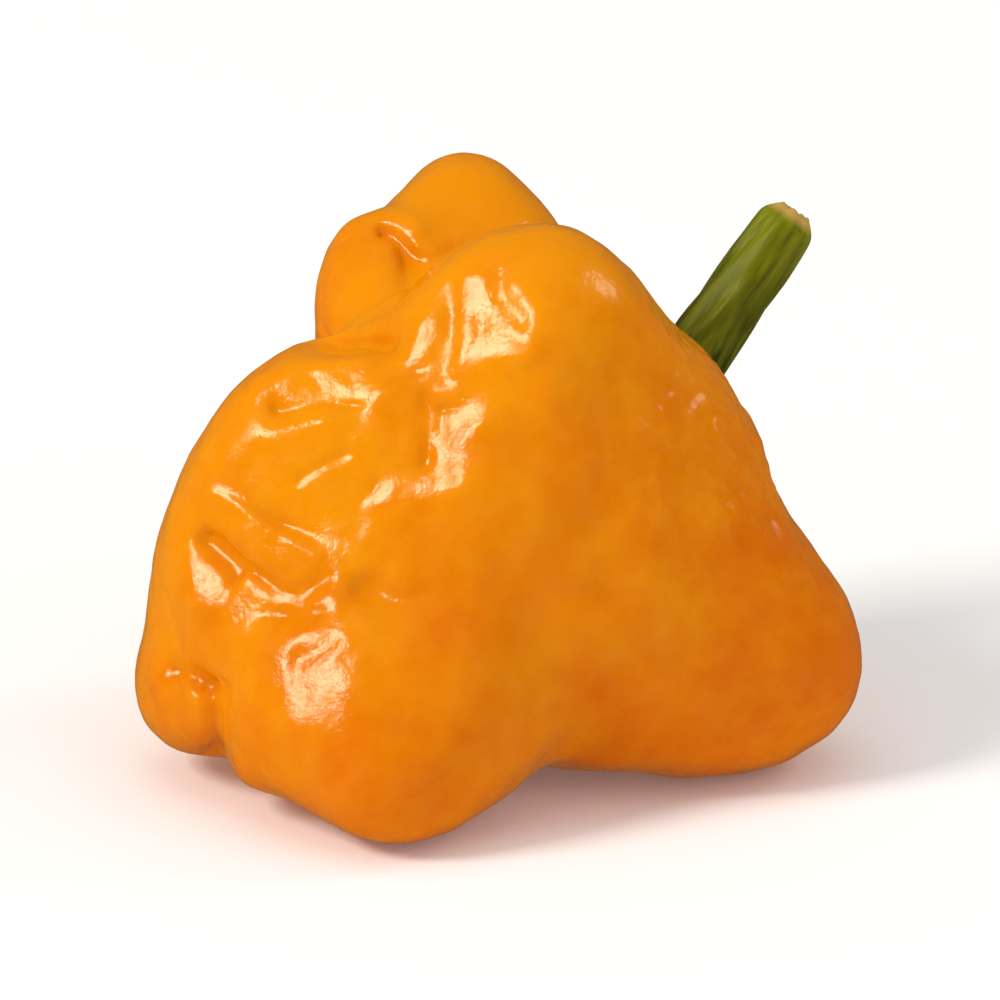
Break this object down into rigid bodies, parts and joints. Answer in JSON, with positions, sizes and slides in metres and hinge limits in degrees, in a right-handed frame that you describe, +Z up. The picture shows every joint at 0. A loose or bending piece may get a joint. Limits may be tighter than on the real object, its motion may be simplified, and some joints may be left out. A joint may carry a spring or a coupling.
{
  "type": "scotch bonnet pepper",
  "caption": "Ripe orange pepper with a squat lobed pod, a thin ragged calyx and a cut stem, lying on its lobes.",
  "frame": {"origin": "middle of the part's bounding box at the surface it lies on", "axes": "+Z up from that surface; -Y faces the viewer of the picture's side, +X to that viewer's right; the calyx and stem are on the +X +Y side"},
  "size_m": [0.0472, 0.0474, 0.0364],
  "materials": {
    "pepper_skin": "smooth waxy skin",
    "dried_calyx": "dry, veined",
    "green_stem": "satin, fresh green"
  },
  "bodies": {
    "root": {"fruit": "pepper_skin", "calyx": "dried_calyx", "stem": "green_stem"}
  },
  "joints": []
}
